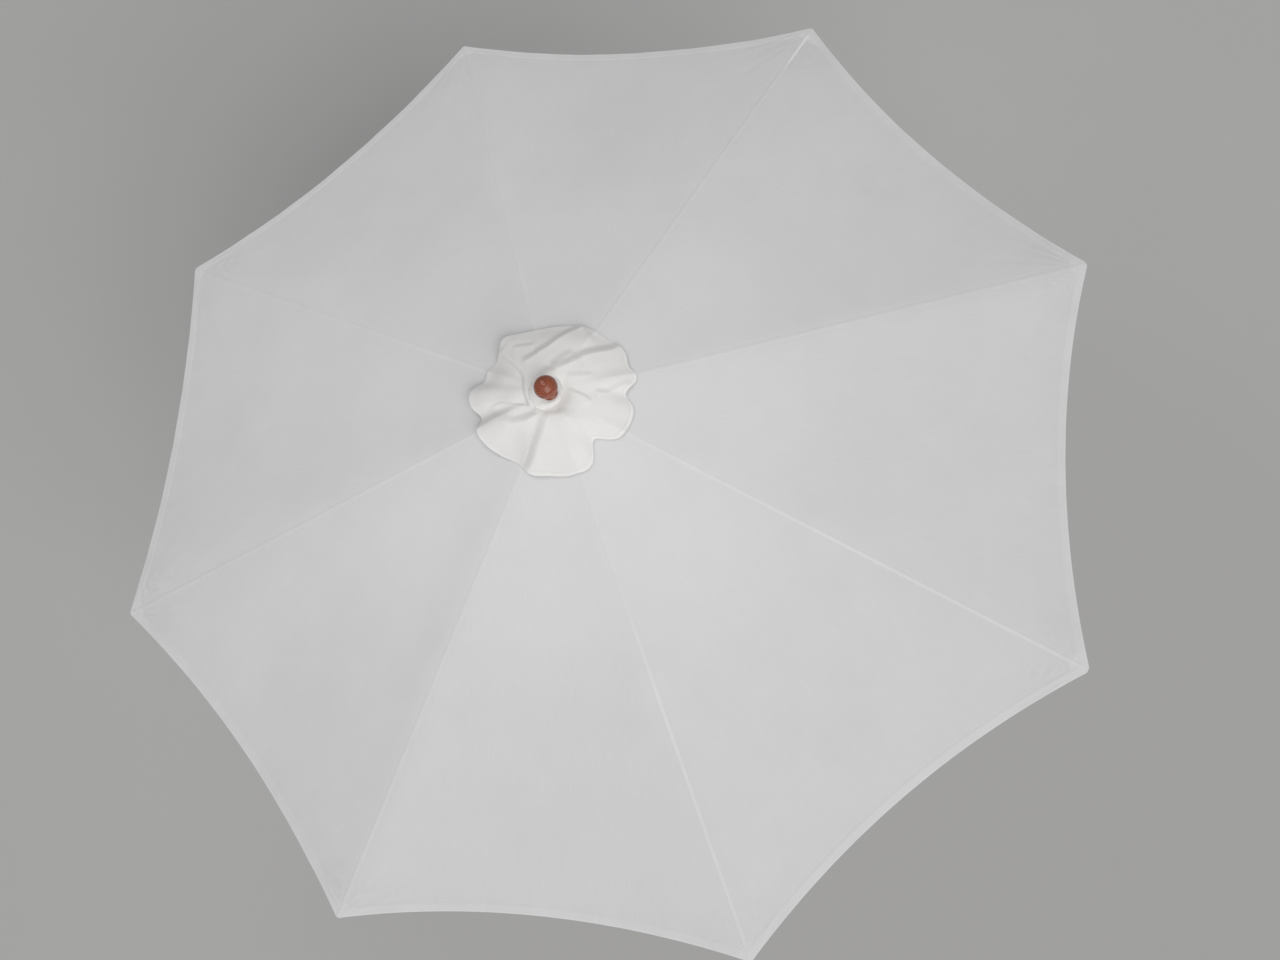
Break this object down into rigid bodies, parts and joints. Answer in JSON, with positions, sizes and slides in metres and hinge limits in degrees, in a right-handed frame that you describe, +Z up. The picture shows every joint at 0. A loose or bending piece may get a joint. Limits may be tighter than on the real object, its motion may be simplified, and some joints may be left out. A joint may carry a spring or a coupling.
{
  "type": "market umbrella",
  "caption": "Open wooden market umbrella: white octagonal canopy with scooped edges, gathered vent cap, turned wooden finial, ribs, struts, sliding runner and two-piece pole.",
  "frame": {"origin": "centre of the pole's flat foot", "axes": "+Z up along the pole; +X along rib 1"},
  "size_m": [2.7, 2.7, 2.4438],
  "materials": {
    "canopy_cloth": "matte",
    "vent_cloth": "matte",
    "pole_wood": "satin",
    "hub_wood": "satin",
    "finial_wood": "satin",
    "brass": "satin",
    "steel": "satin"
  },
  "bodies": {
    "base_pole": {"lower_pole": "pole_wood", "pole_ferrule": "brass"},
    "mast": {"upper_pole": "pole_wood", "top_hub": "hub_wood", "hub_ring": "steel", "hub_cap": "hub_wood", "vent_cap_centre": "vent_cloth", "finial_collar": "vent_cloth", "finial_stud": "steel"},
    "finial": {"finial": "finial_wood"},
    "runner": {"runner": "hub_wood", "runner_ring": "steel"},
    "clamp_screw": {"clamp_screw": "brass"},
    "rib_1": {"rib_1": "pole_wood", "rib_bracket_1": "brass", "canopy_gore_1": "canopy_cloth", "vent_cap_gore_1": "vent_cloth"},
    "strut_1": {"strut_1": "pole_wood"},
    "rib_2": {"rib_2": "pole_wood", "rib_bracket_2": "brass", "canopy_gore_2": "canopy_cloth", "vent_cap_gore_2": "vent_cloth"},
    "strut_2": {"strut_2": "pole_wood"},
    "rib_3": {"rib_3": "pole_wood", "rib_bracket_3": "brass", "canopy_gore_3": "canopy_cloth", "vent_cap_gore_3": "vent_cloth"},
    "strut_3": {"strut_3": "pole_wood"},
    "rib_4": {"rib_4": "pole_wood", "rib_bracket_4": "brass", "canopy_gore_4": "canopy_cloth", "vent_cap_gore_4": "vent_cloth"},
    "strut_4": {"strut_4": "pole_wood"},
    "rib_5": {"rib_5": "pole_wood", "rib_bracket_5": "brass", "canopy_gore_5": "canopy_cloth", "vent_cap_gore_5": "vent_cloth"},
    "strut_5": {"strut_5": "pole_wood"},
    "rib_6": {"rib_6": "pole_wood", "rib_bracket_6": "brass", "canopy_gore_6": "canopy_cloth", "vent_cap_gore_6": "vent_cloth"},
    "strut_6": {"strut_6": "pole_wood"},
    "rib_7": {"rib_7": "pole_wood", "rib_bracket_7": "brass", "canopy_gore_7": "canopy_cloth", "vent_cap_gore_7": "vent_cloth"},
    "strut_7": {"strut_7": "pole_wood"},
    "rib_8": {"rib_8": "pole_wood", "rib_bracket_8": "brass", "canopy_gore_8": "canopy_cloth", "vent_cap_gore_8": "vent_cloth"},
    "strut_8": {"strut_8": "pole_wood"}
  },
  "joints": [
    {"name": "mast_lift", "type": "slide", "parent": "base_pole", "child": "mast", "axis": [0, 0, 1], "range_m": [0, 0.085]},
    {"name": "finial_turn", "type": "hinge", "parent": "mast", "child": "finial", "pos_m": [0, 0, 2.39], "axis": [0, 0, 1], "continuous": true},
    {"name": "runner_slide", "type": "slide", "parent": "mast", "child": "runner", "axis": [0, 0, -1], "range_m": [0, 0.71659]},
    {"name": "clamp_screw_turn", "type": "hinge", "parent": "runner", "child": "clamp_screw", "pos_m": [0.01339, -0.03234, 1.63422], "axis": [0.3827, -0.9239, 0], "range_deg": [0, 720]},
    {"name": "rib_1_fold", "type": "hinge", "parent": "mast", "child": "rib_1", "pos_m": [0.045, 0, 2.3306], "axis": [0, 1, 0], "range_deg": [0, 70.06], "deforming": ["canopy_gore_1", "vent_cap_gore_1"]},
    {"name": "strut_1_fold", "type": "hinge", "parent": "rib_1", "child": "strut_1", "pos_m": [0.63396, 0, 2.13515], "axis": [0, -1, 0], "range_deg": [0, 120.72]},
    {"name": "rib_2_fold", "type": "hinge", "parent": "mast", "child": "rib_2", "pos_m": [0.03182, 0.03182, 2.3306], "axis": [-0.7071, 0.7071, 0], "range_deg": [0, 70.06], "deforming": ["canopy_gore_2", "vent_cap_gore_2"]},
    {"name": "strut_2_fold", "type": "hinge", "parent": "rib_2", "child": "strut_2", "pos_m": [0.44828, 0.44828, 2.13515], "axis": [0.7071, -0.7071, 0], "range_deg": [0, 120.72]},
    {"name": "rib_3_fold", "type": "hinge", "parent": "mast", "child": "rib_3", "pos_m": [0, 0.045, 2.3306], "axis": [-1, 0, 0], "range_deg": [0, 70.06], "deforming": ["canopy_gore_3", "vent_cap_gore_3"]},
    {"name": "strut_3_fold", "type": "hinge", "parent": "rib_3", "child": "strut_3", "pos_m": [0, 0.63396, 2.13515], "axis": [1, 0, 0], "range_deg": [0, 120.72]},
    {"name": "rib_4_fold", "type": "hinge", "parent": "mast", "child": "rib_4", "pos_m": [-0.03182, 0.03182, 2.3306], "axis": [-0.7071, -0.7071, 0], "range_deg": [0, 70.06], "deforming": ["canopy_gore_4", "vent_cap_gore_4"]},
    {"name": "strut_4_fold", "type": "hinge", "parent": "rib_4", "child": "strut_4", "pos_m": [-0.44828, 0.44828, 2.13515], "axis": [0.7071, 0.7071, 0], "range_deg": [0, 120.72]},
    {"name": "rib_5_fold", "type": "hinge", "parent": "mast", "child": "rib_5", "pos_m": [-0.045, 0, 2.3306], "axis": [0, -1, 0], "range_deg": [0, 70.06], "deforming": ["canopy_gore_5", "vent_cap_gore_5"]},
    {"name": "strut_5_fold", "type": "hinge", "parent": "rib_5", "child": "strut_5", "pos_m": [-0.63396, 0, 2.13515], "axis": [0, 1, 0], "range_deg": [0, 120.72]},
    {"name": "rib_6_fold", "type": "hinge", "parent": "mast", "child": "rib_6", "pos_m": [-0.03182, -0.03182, 2.3306], "axis": [0.7071, -0.7071, 0], "range_deg": [0, 70.06], "deforming": ["canopy_gore_6", "vent_cap_gore_6"]},
    {"name": "strut_6_fold", "type": "hinge", "parent": "rib_6", "child": "strut_6", "pos_m": [-0.44828, -0.44828, 2.13515], "axis": [-0.7071, 0.7071, 0], "range_deg": [0, 120.72]},
    {"name": "rib_7_fold", "type": "hinge", "parent": "mast", "child": "rib_7", "pos_m": [0, -0.045, 2.3306], "axis": [1, 0, 0], "range_deg": [0, 70.06], "deforming": ["canopy_gore_7", "vent_cap_gore_7"]},
    {"name": "strut_7_fold", "type": "hinge", "parent": "rib_7", "child": "strut_7", "pos_m": [0, -0.63396, 2.13515], "axis": [-1, 0, 0], "range_deg": [0, 120.72]},
    {"name": "rib_8_fold", "type": "hinge", "parent": "mast", "child": "rib_8", "pos_m": [0.03182, -0.03182, 2.3306], "axis": [0.7071, 0.7071, 0], "range_deg": [0, 70.06], "deforming": ["canopy_gore_8", "vent_cap_gore_8"]},
    {"name": "strut_8_fold", "type": "hinge", "parent": "rib_8", "child": "strut_8", "pos_m": [0.44828, -0.44828, 2.13515], "axis": [-0.7071, -0.7071, 0], "range_deg": [0, 120.72]}
  ],
  "couplings": [
    {"joint": "rib_1_fold", "follows": "runner_slide", "rad_per_m": 1.706},
    {"joint": "strut_1_fold", "follows": "runner_slide", "rad_per_m": 2.9399},
    {"joint": "rib_2_fold", "follows": "runner_slide", "rad_per_m": 1.706},
    {"joint": "strut_2_fold", "follows": "runner_slide", "rad_per_m": 2.9399},
    {"joint": "rib_3_fold", "follows": "runner_slide", "rad_per_m": 1.706},
    {"joint": "strut_3_fold", "follows": "runner_slide", "rad_per_m": 2.9399},
    {"joint": "rib_4_fold", "follows": "runner_slide", "rad_per_m": 1.706},
    {"joint": "strut_4_fold", "follows": "runner_slide", "rad_per_m": 2.9399},
    {"joint": "rib_5_fold", "follows": "runner_slide", "rad_per_m": 1.706},
    {"joint": "strut_5_fold", "follows": "runner_slide", "rad_per_m": 2.9399},
    {"joint": "rib_6_fold", "follows": "runner_slide", "rad_per_m": 1.706},
    {"joint": "strut_6_fold", "follows": "runner_slide", "rad_per_m": 2.9399},
    {"joint": "rib_7_fold", "follows": "runner_slide", "rad_per_m": 1.706},
    {"joint": "strut_7_fold", "follows": "runner_slide", "rad_per_m": 2.9399},
    {"joint": "rib_8_fold", "follows": "runner_slide", "rad_per_m": 1.706},
    {"joint": "strut_8_fold", "follows": "runner_slide", "rad_per_m": 2.9399}
  ]
}
